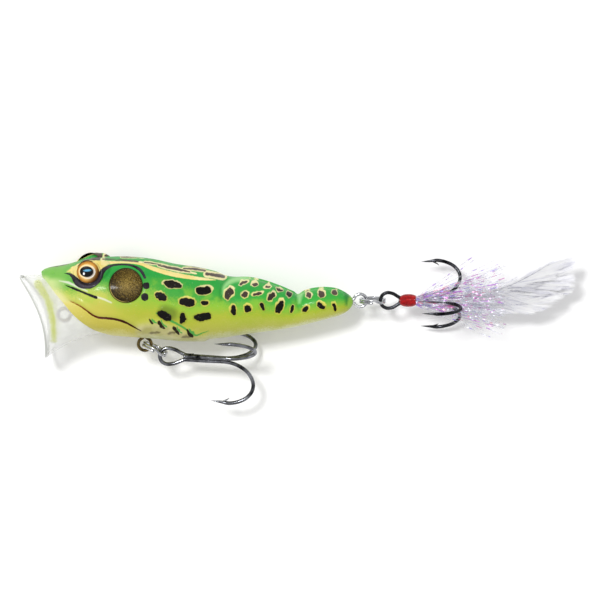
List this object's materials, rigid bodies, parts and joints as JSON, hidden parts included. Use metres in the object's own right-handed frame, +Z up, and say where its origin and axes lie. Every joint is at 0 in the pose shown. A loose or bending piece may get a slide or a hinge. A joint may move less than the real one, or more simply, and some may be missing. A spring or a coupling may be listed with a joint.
{
  "type": "topwater popper",
  "caption": "Hollow frog-shaped topwater popper lure with a clear mouth cup, treble hooks on split rings and a feathered tail, lying on its right flank.",
  "frame": {"origin": "on the surface that the lure lies on, under the middle of its bounding box", "axes": "+X from the mouth to the tail, +Y towards the frog's back, +Z up out of its left flank"},
  "size_m": [0.1254, 0.0347, 0.0185],
  "materials": {
    "painted_shell": "painted and clear-coated",
    "clear_plastic": "clear moulded",
    "eye_print": "printed foil",
    "clear_resin": "clear dome over a dark pupil",
    "nickel_wire": "bright plated",
    "bronze_wire": "dark bronze",
    "black_nickel": "black nickel plated",
    "steel": "plain, hidden inside",
    "red_thread": "varnished thread",
    "tinsel": "pearl film",
    "hackle": "feather"
  },
  "bodies": {
    "lure_body": {"body_left": "painted_shell", "body_right": "painted_shell", "mouth_cup": "clear_plastic", "eye_foil_left": "eye_print", "eye_foil_right": "eye_print", "eye_lens_left": "clear_resin", "eye_lens_right": "clear_resin", "line_tie": "nickel_wire", "belly_hanger": "bronze_wire", "tail_hanger": "nickel_wire", "belly_ballast": "steel", "tail_ballast": "steel"},
    "belly_ring": {"belly_split_ring": "nickel_wire"},
    "belly_hook": {"belly_treble_double": "black_nickel", "belly_treble_single": "black_nickel"},
    "tail_ring": {"tail_split_ring": "nickel_wire"},
    "tail_hook": {"tail_treble_double": "black_nickel", "tail_treble_single": "black_nickel", "thread_wrap": "red_thread", "tinsel_skirt": "tinsel", "feather_upper": "hackle", "feather_middle": "hackle", "feather_lower": "hackle", "feather_far": "hackle"},
    "ball_front": {"rattle_ball_front": "steel"},
    "ball_middle": {"rattle_ball_middle": "steel"},
    "ball_rear": {"rattle_ball_rear": "steel"}
  },
  "joints": [
    {"name": "belly_ring_swing", "type": "hinge", "parent": "lure_body", "child": "belly_ring", "pos_m": [-0.03472, -0.00331, 0.00915], "axis": [0, 0, 1], "range_deg": [-75, 3]},
    {"name": "belly_hook_swing", "type": "hinge", "parent": "belly_ring", "child": "belly_hook", "pos_m": [-0.02991, -0.00566, 0.00915], "axis": [0, 0, 1], "range_deg": [-75, 5]},
    {"name": "tail_ring_swing", "type": "hinge", "parent": "lure_body", "child": "tail_ring", "pos_m": [0.01378, 0.00659, 0.00915], "axis": [0, 0, 1], "range_deg": [-60, 60]},
    {"name": "tail_hook_swing", "type": "hinge", "parent": "tail_ring", "child": "tail_hook", "pos_m": [0.01938, 0.00659, 0.00915], "axis": [0, 0, 1], "range_deg": [-60, 60]},
    {"name": "front_ball_roll", "type": "slide", "parent": "lure_body", "child": "ball_front", "axis": [1, 0, 0], "range_m": [0, 0.004]},
    {"name": "middle_ball_roll", "type": "slide", "parent": "lure_body", "child": "ball_middle", "axis": [1, 0, 0], "range_m": [0, 0.004]},
    {"name": "rear_ball_roll", "type": "slide", "parent": "lure_body", "child": "ball_rear", "axis": [1, 0, 0], "range_m": [0, 0.004]}
  ],
  "couplings": [
    {"joint": "middle_ball_roll", "follows": "front_ball_roll", "ratio": 1},
    {"joint": "rear_ball_roll", "follows": "front_ball_roll", "ratio": 1}
  ]
}
